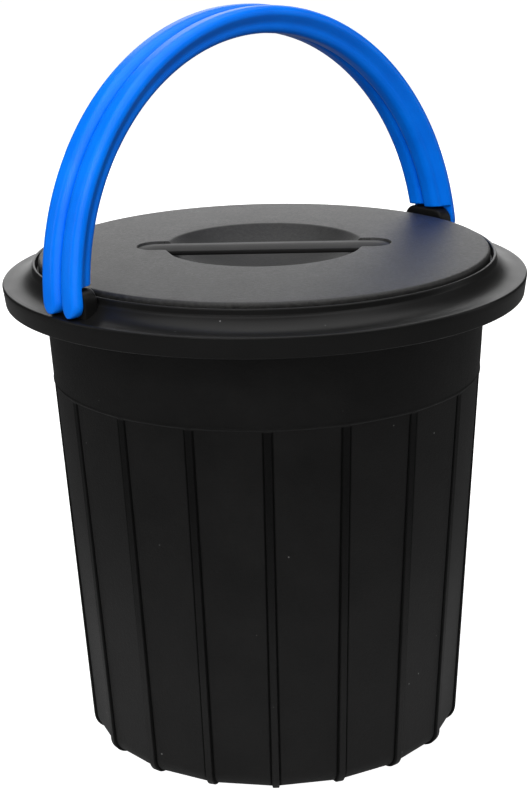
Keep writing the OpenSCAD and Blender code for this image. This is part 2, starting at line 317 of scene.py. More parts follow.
WALL_ROWS = 20
BELOW_LEDGE = 3.2
wall_top_z = ledge_z - BELOW_LEDGE
rib_lower = foot_and_wall(no_set_back, 0.0, RIB_CORNER, wall_top_z, WALL_ROWS)
panel_lower = foot_and_wall(panel_set_back, FOOT_H, PANEL_CORNER, wall_top_z, WALL_ROWS)
step_heights = ledge_z + np.array([-2.7, -2.35, -2.0, -1.6, -1.2, -0.8, -0.4, -0.1, 0.15, 0.4, 0.8, 1.3])
step_shares = np.array([1.0, 1.0, 0.8, 0.3, 0.05, 0, 0, 0, 0, 0, 0, 0])
step_bead = np.array([0, 0.05, 0.35, 0.75, 0.95, 1.0, 0.95, 0.7, 0.35, 0.1, 0.0, 0.0])


def step_rows(set_back):
    """The ledge: the wall comes out from its set-back to a small round bead, whose top runs in
    to the band's line."""
    r = wall_r(step_heights) - set_back * step_shares + BEAD_RISE * step_bead
    return np.column_stack([r, step_heights])


band = rounded_outline([
    (wall_r(ledge_z + 3), ledge_z + 3),
    (wall_r(bucket_top_z - FLANGE_T), bucket_top_z - FLANGE_T, 1.0),
    (bucket_high[0], bucket_top_z - FLANGE_T, 0.6),
    (bucket_high[0], bucket_top_z, 0.6),
    (MOUTH_R, bucket_top_z, 0.8),
    (wall_r(FOOT_H + FLOOR_T) - RIB_RISE_FOOT - WALL_T, FOOT_H + FLOOR_T, 14.0),
    (8, FOOT_H + FLOOR_T)], closed=False)
band = with_steps(band, 14.0)
rib_outline = np.concatenate([rib_lower, step_rows(0.0), band])
panel_outline = np.concatenate([panel_lower, step_rows(RIB_RISE_TOP), band])
print("rows along the bucket's outline:", len(rib_outline), len(panel_outline))


# %% Bucket: surface
GROOVE_BACK = 3.2
GROOVE_END = 4.2


def rib_columns():
    """Offsets from a rib across half of one panel: some in millimetres beside the rib, closest
    at its side and its groove, then shares of the way from there to the panel's middle."""
    beside = np.array([0, 1.1, 1.8, 2.1, 2.25, 2.4, 2.55, 2.7, 2.95, 3.2, 3.45, 3.7, 4.0, 4.5, 5.6])
    share = np.array([0.2, 0.4, 0.6, 0.8, 1.0])
    millimetres = np.concatenate([beside, np.full(len(share), beside[-1])])
    towards_middle = np.concatenate([np.zeros(len(beside)), share])
    return millimetres, towards_middle


def bucket_surface():
    """Each column stands at an angle from its rib. Its rib share is 1 on the rib's top and falls
    to 0 down the rib's side. Its point is panel + share * (rib - panel), less a shallow groove
    beside the rib. A flat panel's radius is the corner radius times cos(half panel) / cos(angle
    from the panel's middle)."""
    half_panel = math.pi / RIB_COUNT
    millimetres, towards_middle = rib_columns()
    rib_r, rib_z = rib_outline.T[:, :, None]
    panel_r, panel_z = panel_outline.T[:, :, None]
    reference = np.maximum(rib_r, 110.0)
    near = millimetres / reference
    offset = near + (half_panel - near) * towards_middle
    share = 1 - smooth_step(millimetres, RIB_TOP_HALF, RIB_FOOT_HALF)
    groove = smooth_step(millimetres, RIB_TOP_HALF, RIB_FOOT_HALF)
    groove = groove - smooth_step(millimetres, GROOVE_BACK, GROOVE_END)
    mirrored = slice(-2, 0, -1)
    offset = np.concatenate([offset, 2 * half_panel - offset[:, mirrored]], axis=1)
    share = np.concatenate([share, share[mirrored]])
    groove = np.concatenate([groove, groove[mirrored]])
    flatness = np.where(np.arange(len(rib_r)) < len(rib_lower), 1.0, 0.0)[:, None]
    flatness *= 1 - (1 - FLAT_TOP) * smooth_step(rib_z, 60, ledge_z)
    step = slice(len(rib_lower), len(rib_lower) + len(step_shares))
    flatness[step, 0] = FLAT_TOP * step_shares
    flatness *= smooth_step(rib_r, 60, 100)
    flattened = math.cos(half_panel) / np.cos(half_panel - np.minimum(offset, 2 * half_panel - offset))
    radius = panel_r * (1 + (flattened - 1) * flatness)
    lower = (np.arange(len(rib_r)) < len(rib_lower))[:, None]
    radius = radius + (rib_r - radius) * share - GROOVE_DEPTH * groove * lower * smooth_step(rib_z, 1, 9)
    height = panel_z + (rib_z - panel_z) * share
    turns = RIB_TURN + 2 * half_panel * np.arange(RIB_COUNT)
    angle = (turns[None, :, None] + offset[:, None, :]).reshape(len(rib_r), -1)
    marks = [np.broadcast_to(v, radius.shape) * lower for v in (share, groove)]
    radius, height, share, groove = (np.tile(v, (1, RIB_COUNT)) for v in (radius, height, *marks))
    grid = np.stack([radius * np.cos(angle), radius * np.sin(angle), height], -1)
    return grid, {"rib_share": share, "groove_share": groove}


bucket_grid, bucket_marks = bucket_surface()
bucket = skin("bucket_moulding", bucket_grid, first_pole=(0, 0, FOOT_H), last_pole=(0, 0, FOOT_H + FLOOR_T),
              marks=bucket_marks)

# %% [markdown]
# The seat rim is a second moulding that snaps over the bucket's flange. From the middle
# outwards it has a collar inside the bucket, a ledge for the lid, a thin lip with a rounded
# bead, a concave valley where the folded handles lie, and a skirt that hangs down outside. It
# is the same all round, so one closed outline is carried round the axis.
# %% Seat rim: outline and surface
RIM_WALL = 2.6
OPENING_R = 149.5
COLLAR_H = 25.0
COLLAR_GAP = 0.4
LIP_H = 13.0
LIP_T = 2.6
VALLEY_R = 21.0
VALLEY_LOW = 0.2
EDGE_ROUND = 1.5
SKIRT_H = 14.6
SKIRT_DRAFT = 1.8
SNAP_BITE = 1.3
SNAP_WALL = 2.2
SNAP_H = 3.0

rim_r = rim_high[0]
web_z = bucket_top_z + RIM_WALL
lip_top_z = rim_edge_z + LIP_H
handle_outer_r = rim_r - 0.5
handle_inner_r = handle_outer_r - 19.0
lip_outer_r = handle_inner_r - 1.7
lip_inner_r = lip_outer_r - LIP_T
valley_r, valley_z = rim_r - 3.5, rim_edge_z + VALLEY_LOW + VALLEY_R
skirt_low_z = rim_edge_z - SKIRT_H
skirt_low_r = rim_r - SKIRT_DRAFT


def rim_outline():
    """The closed outline of the rim, walked outwards over the top and back underneath."""
    collar_r = MOUTH_R - wall_slope * COLLAR_H - COLLAR_GAP
    collar_low = bucket_top_z - COLLAR_H
    lip_foot_r = lip_outer_r + 0.7
    foot_turn = 180 + math.degrees(math.acos((valley_r - lip_foot_r) / VALLEY_R))
    bead = LIP_T / 2
    inside = rounded_outline([
        (collar_r, collar_low, 0.6), (OPENING_R, collar_low, 0.6), (OPENING_R, web_z, 0.9),
        (lip_inner_r, web_z, 0.9), (lip_inner_r, lip_top_z - bead)], closed=False)
    inside = inside[1:]
    over_bead = arc(lip_inner_r + bead, lip_top_z - bead, bead, 178, 2, 14)
    valley = arc(valley_r, valley_z, VALLEY_R, foot_turn + 3, 270, 3)
    crease = np.array([[lip_outer_r + 0.05, valley[0, 1] + 1.6], [lip_outer_r + 0.25, valley[0, 1] + 0.7]])
    edge = arc(rim_r - EDGE_ROUND, rim_edge_z - EDGE_ROUND, EDGE_ROUND, 90, 0, 12)
    lip = rounded_outline([
        (rim_r, rim_edge_z - 2.2), (skirt_low_r, skirt_low_z, 0.9),
        (skirt_low_r - RIM_WALL, skirt_low_z, 0.9),
        (rim_r - RIM_WALL - 0.7, rim_edge_z - RIM_WALL - EDGE_ROUND, 1.5),
        (valley_r, valley_z - VALLEY_R - RIM_WALL)], closed=False)
    under_r = VALLEY_R + RIM_WALL
    under_turn = 180 + math.degrees(math.asin((valley_z - bucket_top_z) / under_r))
    under = arc(valley_r, valley_z, under_r, 266, under_turn + 4, 5)
    snap_r = bucket_high[0] + COLLAR_GAP
    snap_low = bucket_top_z - FLANGE_T - COLLAR_GAP - SNAP_H
    snap = rounded_outline([
        (snap_r + SNAP_WALL, bucket_top_z - 0.2), (snap_r + SNAP_WALL, snap_low, 0.5),
        (snap_r, snap_low, 0.4), (snap_r - SNAP_BITE, snap_low + SNAP_H, 0.4),
        (snap_r, snap_low + SNAP_H, 0.3), (snap_r, bucket_top_z, 0.5),
        (collar_r + 0.1, bucket_top_z, 0.5), (collar_r, collar_low + 1.2)], closed=False)
    return np.concatenate([inside, over_bead, crease, valley, edge, lip[1:], under, snap])


RIM_COLUMNS = 320
rim_turns = np.linspace(0, 2 * math.pi, RIM_COLUMNS, endpoint=False)
rim_profile = with_steps(rim_outline(), 6.0, closed=True)
seat_rim = skin("seat_rim_moulding", revolve(rim_profile, rim_turns), loop_rows=True)

# %% [markdown]
# Two lugs stand up from the rim and carry the handles' pivots. Each is a slab with round top
# corners, one round each pivot. A slab is made of its outline drawn again and again: shrunk
# to a point in the middle of one face, full size along the side, and shrunk to a point on
# the other face, with a quarter circle of rounding between face and side.
# %% Slabs with rounded edges
def outline_inwards(outline):
    """Unit directions that point into a closed outline, at right angles to the line between
    the neighbours of each point."""
    along = np.roll(outline, -1, 0) - np.roll(outline, 1, 0)
    along /= np.linalg.norm(along, axis=1)[:, None]
    inwards = np.column_stack([-along[:, 1], along[:, 0]])
    return inwards * np.sign(np.einsum("ij,ij->", inwards, outline.mean(0) - outline))


def slab_rows(outline, thickness, edge, crown=0.0, rings=5):
    """Rows of (a, b, depth): rings that shrink to the middle of a face, an edge of radius edge
    whose rows are the outline moved in by edge * (1 - cos t) at depth edge * (1 - sin t), then
    the same on the other face. crown lifts the middle of the faces by crown * (1 - s^2)."""
    inwards = outline_inwards(outline)
    middle = (outline.max(0) + outline.min(0)) / 2
    inner = outline + inwards * edge
    rows = []
    for s in np.linspace(0, 1, rings, endpoint=False)[1:]:
        rows.append(np.column_stack([middle + (inner - middle) * s,
                                     np.full(len(outline), crown * (1 - s * s))]))
    for t in np.radians(np.linspace(90, 0, 6)):
        moved = outline + inwards * edge * (1 - math.cos(t))
        rows.append(np.column_stack([moved, np.full(len(outline), -edge * (1 - math.sin(t)))]))
    top = np.array(rows)
    bottom = top[::-1] * np.array([1, 1, -1]) - np.array([0, 0, thickness])
    return np.concatenate([top, bottom]), (*middle, crown), (*middle, -thickness - crown)


# %% Seat rim: lugs
LUG_R = 9.3
LUG_T = 11.3
LUG_GAP = 0.5
TONGUE_T = 7.5
LUG_EDGE = 1.6

pivot_z = (pin_low[2] + pin_high[2]) / 2
pivot_y = abs(pin_low[1] + pin_high[1]) / 2
tongue_inner_x = handle_outer_r - TONGUE_T
lug_outer_x = tongue_inner_x - LUG_GAP


def lug(name, side):
    """The lug's outline in the upright plane through the pivots, thickened towards the middle
    of the bucket. side is 1 for the right lug and -1 for the left one."""
    half = pivot_y + LUG_R
    outline = rounded_outline([
        (-half, rim_edge_z - 1.3, 0), (half, rim_edge_z - 1.3, 0),
        (half, pivot_z + LUG_R, LUG_R - 0.01), (-half, pivot_z + LUG_R, LUG_R - 0.01)])
    outline = with_steps(outline, 2.0, closed=True)
    rows, first, last = slab_rows(outline, LUG_T, LUG_EDGE)

    def placed(p):
        p = np.asarray(p, float)
        return np.stack([side * (lug_outer_x + p[..., 2]), side * p[..., 0], p[..., 1]], -1)
    return skin(name, placed(rows), first_pole=placed(first), last_pole=placed(last))


lugs = [lug("seat_rim_lug_right", 1), lug("seat_rim_lug_left", -1)]

# %% [markdown]
# The lid is a thin round moulding. Its middle is dished to make room for fingers, a slight
# crown runs from the dish to the rounded edge, and two round-ended pockets let the grip bar's
# ends in. A polar grid suits the round lid but not the pockets, whose sides cross it. So the
# columns stand closer near the pockets, and points next to a pocket's side are moved onto it,
# which gives the side a clean line.
# %% Lid: outline
LID_T = 2.6
DISH_R = 70.0
DISH_DEPTH = 28.0
LID_CROWN = 3.0
LID_EDGE_ROUND = 2.5
LID_GAP = 2.0
RING_GAP = 0.9
RING_H = 16.0
BAR_LEN = 179.3
BAR_W = 27.0
BAR_T = 4.5
BAR_PROUD = 0.0
BAR_GAP = 0.5
LID_TURN = math.radians(-44.4)

lid_r = lip_inner_r - LID_GAP
dish_z = bar_high[2] - BAR_PROUD
lid_edge_z = dish_z - LID_CROWN
pocket_z = bar_low[2] - 0.05
sphere_r = (DISH_R ** 2 + DISH_DEPTH ** 2) / (2 * DISH_DEPTH)
sphere_z = dish_z - DISH_DEPTH + sphere_r


def lid_top_z(r):
    """Height of the lid's top: the dish's sphere inside the dish radius and a gentle crown
    outside it, joined by a small rounding."""
    bowl = sphere_z - np.sqrt(sphere_r ** 2 - np.minimum(r, DISH_R + 3) ** 2)
    share = np.clip((r - DISH_R) / (lid_r - LID_EDGE_ROUND - DISH_R), 0, 1)
    crown = dish_z - LID_CROWN * share ** 1.6
    soft = 0.35
    return -soft * np.log(np.exp(-(bowl - dish_z) / soft) + np.exp(-(crown - dish_z) / soft)) + dish_z


def lid_outline():
    """From beside the middle of the top, over the edge, to beside the middle underneath."""
    steps = np.concatenate([np.arange(3, 56, 3.5), np.arange(56, 67.5, 0.5), np.arange(67.5, 73, 0.3),
                            np.arange(73, 96, 0.5), np.arange(97, lid_r - LID_EDGE_ROUND - 0.4, 5.5)])
    top = np.column_stack([steps, lid_top_z(steps)])
    edge = arc(lid_r - LID_EDGE_ROUND, lid_edge_z - LID_EDGE_ROUND, LID_EDGE_ROUND, 88, 0, 11)
    ring_r = OPENING_R - RING_GAP
    low = web_z + 0.1
    under_r = sphere_r + LID_T
    side = rounded_outline([
        (lid_r, lid_edge_z - 3), (lid_r, low, 0.5), (lid_r - LID_T, low, 0.5),
        (lid_r - LID_T, lid_edge_z - LID_T - 1, 0.8), (ring_r, lid_edge_z - LID_T, 0.5),
        (ring_r, web_z - RING_H, 0.9), (ring_r - LID_T, web_z - RING_H, 0.6),
        (ring_r - LID_T, lid_edge_z - LID_T, 1.0), (100, dish_z - LID_T - 4.6, 1),
        (DISH_R + 5, dish_z - LID_T - 5, 6)], closed=False)
    turn = math.degrees(math.asin((sphere_z - (dish_z - LID_T - 7)) / under_r))
    under = arc(0, sphere_z, under_r, -turn, -88, 6)
    return np.concatenate([top, edge, side[1:], under]), len(steps)


lid_profile, lid_top_rows = lid_outline()
print("lid outline:", len(lid_profile), "rows,", lid_top_rows, "on its top")


# %% Lid: surface with its pockets
def pill_distance(along, across, length, width):
    """Distance to the edge of a round-ended bar, negative inside: the distance to the line
    between the centres of its round ends, less half the width."""
    beyond = np.maximum(np.abs(along) - (length - width) / 2, 0)
    return np.hypot(beyond, across) - width / 2


POCKET_DEGREES = 15.4
POCKET_STEP = 0.275


def lid_surface():
    """Height of the top at (r, a), lowered to the pocket's floor inside the pocket's edge."""
    dense = np.arange(-POCKET_DEGREES, POCKET_DEGREES + 0.01, POCKET_STEP)
    sparse = np.linspace(POCKET_DEGREES, 180 - POCKET_DEGREES, 70)[1:-1]
    degrees = np.concatenate([dense, sparse, dense + 180, sparse + 180])
    grid = revolve(lid_profile, np.radians(degrees))
    top = grid[:lid_top_rows]
    along, across = top[..., 0], top[..., 1]
    size = BAR_LEN + 2 * BAR_GAP, BAR_W + 2 * BAR_GAP
    distance = pill_distance(along, across, *size)
    inside, outside, reach = -0.4, 0.06, 0.34
    snapped = np.where((distance >= -0.17) & (distance < reach), outside, distance)
    snapped = np.where((distance < -0.17) & (distance > -0.7), inside, snapped)
    nudge = 1e-3
    slope_along = (pill_distance(along + nudge, across, *size) - distance) / nudge
    slope_across = (pill_distance(along, across + nudge, *size) - distance) / nudge
    in_zone = np.hypot(along, across) > 57
    move = np.where(in_zone, snapped - distance, 0)
    along, across = along + slope_along * move, across + slope_across * move
    height = lid_top_z(np.hypot(along, across))
    sunk = np.where(pill_distance(along, across, *size) < (inside + outside) / 2, 1.0, 0.0)
    height = height - sunk * np.maximum(height - pocket_z, 0)
    grid[:lid_top_rows] = np.stack([along, across, height], -1)
    c, s = math.cos(LID_TURN), math.sin(LID_TURN)
    x, y = grid[..., 0].copy(), grid[..., 1].copy()
    grid[..., 0], grid[..., 1] = c * x - s * y, s * x + c * y
    return grid


lid = skin("lid_moulding", lid_surface(), first_pole=(0, 0, dish_z - DISH_DEPTH),
           last_pole=(0, 0, dish_z - DISH_DEPTH - LID_T))

# %% [markdown]
# The grip bar crosses the dish and its round ends drop into the lid's pockets. It is another
# slab, with a small rounding round its edge and a low crown on top, so that it feels smooth to
# the fingers.
# %% Grip bar
BAR_EDGE = 1.2
BAR_CROWN = 1.6


def grip_bar():
    """A round-ended outline made a slab and turned with the lid. Its top falls away from the
    middle line by crown * t^1.5, with t = 0 on that line and 1 at the edge."""
    end = (BAR_LEN - BAR_W) / 2
    right_end = arc(end, 0, BAR_W / 2, -90, 90, 7)
    left_end = arc(-end, 0, BAR_W / 2, 90, 270, 7)
    outline = with_steps(np.concatenate([right_end, left_end]), 4.0, closed=True)
    rows, first, last = slab_rows(outline, BAR_T, BAR_EDGE, rings=16)
    t = 1 + pill_distance(rows[..., 0], rows[..., 1], BAR_LEN, BAR_W) / (BAR_W / 2)
    rows[..., 2] -= BAR_CROWN * t ** 1.5 * (1 + rows[..., 2] / BAR_T)
    c, s = math.cos(LID_TURN), math.sin(LID_TURN)

    def placed(p):
        p = np.asarray(p, float)
        return np.stack([c * p[..., 0] - s * p[..., 1], s * p[..., 0] + c * p[..., 1],
                         bar_high[2] + p[..., 2]], -1)
    return skin("lid_grip_bar_moulding", placed(rows), first_pole=placed(first), last_pole=placed(last))


bar = grip_bar()

# %% [markdown]
# Each handle is a half ring with a thick outer lobe and a thinner inner part, so that it fits
# the rim's valley when it is folded. At each end only a flat tongue goes down past the lug to
# the pivot. The section is carried round half a circle. Below the cut, every point nearer the
# middle than the tongue's inner face is pushed out onto that face. The tongue's last stretch
# narrows to a half circle round the pivot, and its tip is rounded in thickness as well.
# %% Handles: section
HANDLE_W = 18.3
HANDLE_RELIEF = 4.0
HANDLE_ROUND = 7.0
HANDLE_LOW_ROUND = 5.5
HANDLE_INNER_ROUND = 5.0
HANDLE_LEAN = math.radians(5.6)
LUG_TOP_GAP = 1.3


def handle_section():
    """Closed outline of (radius, side): side runs from the low face, which rests in the
    valley, to the high face, which meets the other handle."""
    half = HANDLE_W / 2
    inner_low = -half + HANDLE_RELIEF
    corners = [
        (handle_outer_r, half, HANDLE_ROUND), (handle_inner_r, half, HANDLE_INNER_ROUND),
        (handle_inner_r, inner_low, HANDLE_INNER_ROUND), (tongue_inner_x - 4.7, inner_low, 5),
        (tongue_inner_x + 0.8, -half, 3), (handle_outer_r, -half, HANDLE_LOW_ROUND)]
    return with_steps(rounded_outline(corners), 1.6, closed=True)


section = handle_section()
print("points round the handle's section:", len(section))


# %% Handles: surface
arc_z = pivot_z - pivot_y
tip_x = (tongue_inner_x + handle_outer_r) / 2
END_R = HANDLE_W / 2 - 0.1
CUT_HEIGHT = LUG_R + LUG_TOP_GAP
RING_STEPS = 130


def handle_stations():
    """Heights of the rows above the ring's centre at one end, and how open the inner part is:
    0 on the tongue, 1 on the full section."""
    turn = np.radians(np.linspace(84, 0, 12))
    tip = pivot_y - END_R * np.sin(turn)
    tongue = np.linspace(pivot_y, pivot_y + CUT_HEIGHT - 0.02, 7)[1:]
    cut = pivot_y + CUT_HEIGHT + np.array([0.0, 0.12, 0.45, 1.0, 2.2])
    heights = np.concatenate([tip, tongue, cut])
    opened = np.concatenate([np.zeros(len(tip) + len(tongue)), [0.9, 0.955, 0.985, 1.0, 1.0]])
    narrow = np.concatenate([np.cos(turn), np.ones(len(tongue) + len(cut))])
    return heights, opened, narrow


def handle_surface():
    """A row is the section at one angle a of the ring: x = r cos a, z = r sin a. Near the ends
    the rows are level cuts instead, with a = arcsin(height / r), and they turn into true
    cross-sections over the next few degrees."""
    heights, opened, narrow = handle_stations()
    middle_r = handle_outer_r - TONGUE_T
    start = np.arcsin(heights / middle_r)
    ring = np.linspace(start[-1], math.pi - start[-1], RING_STEPS + 2)[1:-1]
    angles = np.concatenate([start, ring, math.pi - start[::-1]])
    opened = np.concatenate([opened, np.ones(len(ring)), opened[::-1]])
    narrow = np.concatenate([narrow, np.ones(len(ring)), narrow[::-1]])
    r, side = section.T[:, None, :]
    a = np.minimum(angles, math.pi - angles)[:, None]
    level = np.arcsin(np.clip(middle_r * np.sin(a) / r, 0, 1))
    blend = 1 - smooth_step(a, math.radians(9), math.radians(24))
    turned = a + (level - a) * blend
    x, z = r * np.cos(turned), r * np.sin(turned)
    soft = 0.12
    clamped = tongue_inner_x + soft * np.logaddexp(0, (x - tongue_inner_x) / soft)
    clamped = np.maximum(clamped, tongue_inner_x)
    x = clamped + (x - clamped) * opened[:, None]
    x = tip_x + (x - tip_x) * np.sqrt(1 - (1 - narrow[:, None]) ** 4)
    mirror = np.where(angles > math.pi / 2, -1.0, 1.0)[:, None]
    width = side * narrow[:, None]
    return np.stack([x * mirror, np.broadcast_to(width, x.shape), z], -1)


def handle(name, facing):
    """Stands the half ring on its pivots and leans it. facing is 1 for the front handle, whose
    high face looks to the rear, and -1 for the rear one."""
    tip_z = pivot_y - END_R
    c, s = math.cos(HANDLE_LEAN), math.sin(HANDLE_LEAN)

    def placed(p):
        p = np.asarray(p, float)
        y, z = facing * p[..., 1], p[..., 2] + arc_z - pivot_z
        return np.stack([p[..., 0], -facing * pivot_y + c * y + s * z, pivot_z - s * y + c * z], -1)
    return skin(name, placed(handle_surface()), first_pole=placed((tip_x, 0, tip_z)),
                last_pole=placed((-tip_x, 0, tip_z)))


front_handle = handle("front_handle_moulding", 1)
rear_handle = handle("rear_handle_moulding", -1)

# %% [markdown]
# A finish is a shader network. Writing it as sums and products is easier to read than placing
# nodes one by one, so a small class wraps a number inside the network and adds a Math node
# for each operator. One method adds any other kind of node, with its settings first and then
# the values or links of its sockets.
# %% Shader arithmetic
def feed(tree, socket, value):
    """Links a wrapped value or an output into a socket, or sets a plain value on it."""
    if isinstance(value, Number):
        value = value.output
    if isinstance(value, bpy.types.NodeSocket):
        tree.links.new(value, socket)
    else:
        socket.default_value = value


class Number:
    """A number that changes over the surface; each operator adds a Math node."""

    def __init__(self, tree, output):
        self.tree = tree
        self.output = output

    def math(self, operation, *values, clamp=False):
        node = self.tree.nodes.new("ShaderNodeMath")
        node.operation = operation
        node.use_clamp = clamp
        for socket, value in zip(node.inputs, values):
            feed(self.tree, socket, value)
        return Number(self.tree, node.outputs[0])

    def __add__(self, other):
        return self.math("ADD", self, other)

    def __sub__(self, other):
        return self.math("SUBTRACT", self, other)

    def __rsub__(self, other):
        return self.math("SUBTRACT", other, self)

    def __mul__(self, other):
        return self.math("MULTIPLY", self, other)

    __radd__ = __add__
    __rmul__ = __mul__

    def between(self, low, high):
        """0 at low, 1 at high, held inside those."""
        return self.math("MULTIPLY_ADD", self, 1 / (high - low), -low / (high - low), clamp=True)


class Finish:
    """A material with one Principled shader."""

    def __init__(self, name, **fixed):
        self.material = bpy.data.materials.new(name)
        self.material.use_nodes = True
        self.tree = self.material.node_tree
        self.shader = self.tree.nodes["Principled BSDF"]
        self.place = self.node("ShaderNodeTexCoord", out="Object")
        for socket, value in fixed.items():
            self.shader.inputs[socket.replace("_", " ")].default_value = value

    def node(self, kind, settings=None, inputs=None, out=0):
        """Adds a node: its settings are set first, then its sockets are set or linked."""
        node = self.tree.nodes.new(kind)
        for key, value in (settings or {}).items():
            setattr(node, key, value)
        for key, value in (inputs or {}).items():
            feed(self.tree, node.inputs[key], value)
        return node.outputs[out]

    def noise(self, size_mm, detail=2.0, roughness=0.5, stretch=None):
        """Soft random patches of about the given size, from 0 to 1. stretch scales the axes."""
        place = self.place
        if stretch:
            place = self.node("ShaderNodeMapping", inputs={"Vector": place, "Scale": stretch})
        values = {"Vector": place, "Scale": 1 / (size_mm * MM), "Detail": detail, "Roughness": roughness}
        return Number(self.tree, self.node("ShaderNodeTexNoise", inputs=values))

    def specks(self, spacing_mm, size):
        """1 inside sparse round dots, 0 between them: the distance to the nearest cell point."""
        values = {"Vector": self.place, "Scale": 1 / (spacing_mm * MM)}
        distance = Number(self.tree, self.node("ShaderNodeTexVoronoi", inputs=values))
        return 1 - distance.between(size * 0.4, size)

    def height(self):
        """Height above the ground in metres."""
        return Number(self.tree, self.node("ShaderNodeSeparateXYZ", inputs={0: self.place}, out=2))

    def attribute(self, name):
        """A number that the mesh carries at each point."""
        return Number(self.tree, self.node("ShaderNodeAttribute", {"attribute_name": name}, out="Fac"))

    def blend(self, share, first, second):
        """A colour between two colours."""
        return self.node("ShaderNodeMix", {"data_type": "RGBA"}, {0: share, 6: first, 7: second}, out=2)

    def finish(self, colour=None, roughness=None, height=None, depth_mm=0.05, strength=1.0):
        """Links colour, roughness and a bump of the given height map to the shader."""
        if colour is not None:
            feed(self.tree, self.shader.inputs["Base Color"], colour)
        if roughness is not None:
            feed(self.tree, self.shader.inputs["Roughness"], roughness)
        if height is not None:
            values = {"Height": height, "Distance": depth_mm * MM, "Strength": strength}
            feed(self.tree, self.shader.inputs["Normal"], self.node("ShaderNodeBump", inputs=values))
        return self.material


def grey(value, warm=0.0):
    """A neutral colour, or a slightly warm one."""
    return (value * (1 + warm), value, value * (1 - warm), 1.0)


# %% [markdown]
# The bucket's plastic is black and matt. Up close it has a fine grain, faint patches and a
# little pale dust in specks. The grooves beside the ribs get painted shade, darkest because
# light hardly reaches them. The ribs are duller at the top than near the foot, where things
# rub, and their colour is painted darker there as the shade under the rim.
# %% Finish of the bucket
def bucket_finish():
    f = Finish("bucket_black_plastic", Specular_IOR_Level=0.34)
    patches = f.noise(38, 3)
    grain = f.noise(2.4, 4, 0.75)
    dust = f.specks(17, 0.045) * f.noise(60).between(0.45, 0.6)
    rib = f.attribute("rib_share")
    groove = f.attribute("groove_share")
    shade = patches.between(0.3, 0.7) * 0.5 + grain.between(0.3, 0.7) * 0.5
    colour = f.blend(shade, grey(0.0004), grey(0.0052, 0.03))
    colour = f.blend(dust * 0.8, colour, grey(0.22))
    upper = f.height().between(0.06, 0.22)
    # painted shade: the colour darkens to near black in the grooves beside the ribs
    colour = f.blend(groove, colour, grey(0.0005))
    # painted shade: the ribs' colour darkens towards their top, as the shade under the rim
    colour = f.blend(rib * upper, colour, grey(0.0008))
    rough = 0.5 + grain * 0.14 + patches * 0.05 - rib * 0.06 + rib * upper * 0.25 + groove * 0.4
    return f.finish(colour, rough, grain + f.noise(0.8, 1) * 0.5, 0.3, 0.8)


bucket_plastic = bucket_finish()

# %% [markdown]
# The rim has a satin surface, and the grip bar is the same black but duller. Handling leaves
# them a little uneven, so the roughness follows broad patches, and very small grain keeps
# them from looking wet.
# %% Finish of the rim and the bar
def satin_finish(name, shade, roughness, shine):
    f = Finish(name, Specular_IOR_Level=shine)
    patches = f.noise(24, 3)
    grain = f.noise(0.9, 2, 0.55)
    dust = f.specks(15, 0.04) * f.noise(45).between(0.5, 0.62)
    colour = f.blend(patches * 0.6 + grain * 0.4, grey(shade * 0.75), grey(shade * 1.3, 0.02))
    colour = f.blend(dust * 0.7, colour, grey(0.25))
    rough = roughness - 0.05 + patches * 0.08 + grain * 0.06
    return f.finish(colour, rough, grain, 0.09, 0.5)


rim_plastic = satin_finish("rim_satin_plastic", 0.006, 0.32, 0.2)
bar_plastic = satin_finish("grip_bar_plastic", 0.010, 0.38, 0.06)


# %% [markdown]
# The lid's top has a fine spark-eroded texture, which scatters the light and makes it look
# mottled grey rather than black at a low angle.
# %% Finish of the lid
def lid_finish():
    f = Finish("lid_textured_plastic", Specular_IOR_Level=0.58)
    patches = f.noise(20, 4, 0.6)
    mottle = f.noise(2.6, 4, 0.7)
    grain = f.noise(0.9, 2, 0.6)
    colour = f.blend(patches * 0.2 + mottle.between(0.3, 0.7) * 0.8, grey(0.001), grey(0.028, 0.02))
    rough = 0.38 + mottle.between(0.3, 0.7) * 0.14 + patches * 0.08
    return f.finish(colour, rough, mottle + grain * 0.7, 0.22, 0.8)


lid_plastic = lid_finish()


# %% [markdown]
# The handles are bright blue with a satin gloss. The colour is slightly uneven where the
# plastic flowed in the mould, and the surface has a very slight orange-peel waviness.
# %% Finish of the handles
def handle_finish():
    f = Finish("handle_blue_plastic", Specular_IOR_Level=0.2)
    flow = f.noise(30, 3)
    peel = f.noise(3.0, 2)
    grain = f.noise(0.8, 2)
    colour = f.blend(flow.between(0.3, 0.7), (0.0, 0.15, 0.80, 1), (0.0, 0.18, 0.88, 1))
    rough = 0.24 + flow * 0.08 + grain * 0.05
    return f.finish(colour, rough, peel * 0.7 + grain * 0.3, 0.06, 0.35)


handle_plastic = handle_finish()


# %% [markdown]
# The pivot pins are drawn steel. Drawing leaves fine lines along the pin, so the noise is
# stretched along X, and they only change the roughness and a shallow bump.
# %% Finish of the pins
def pin_finish():
    f = Finish("pin_drawn_steel", Metallic=1.0)
    lines = f.noise(0.5, 2, 0.6, stretch=(0.05, 1, 1))
    tarnish = f.noise(4, 2)
    colour = f.blend(tarnish, grey(0.5), grey(0.62, 0.02))
    return f.finish(colour, 0.26 + lines * 0.2, lines, 0.02, 0.5)


pin_steel = pin_finish()

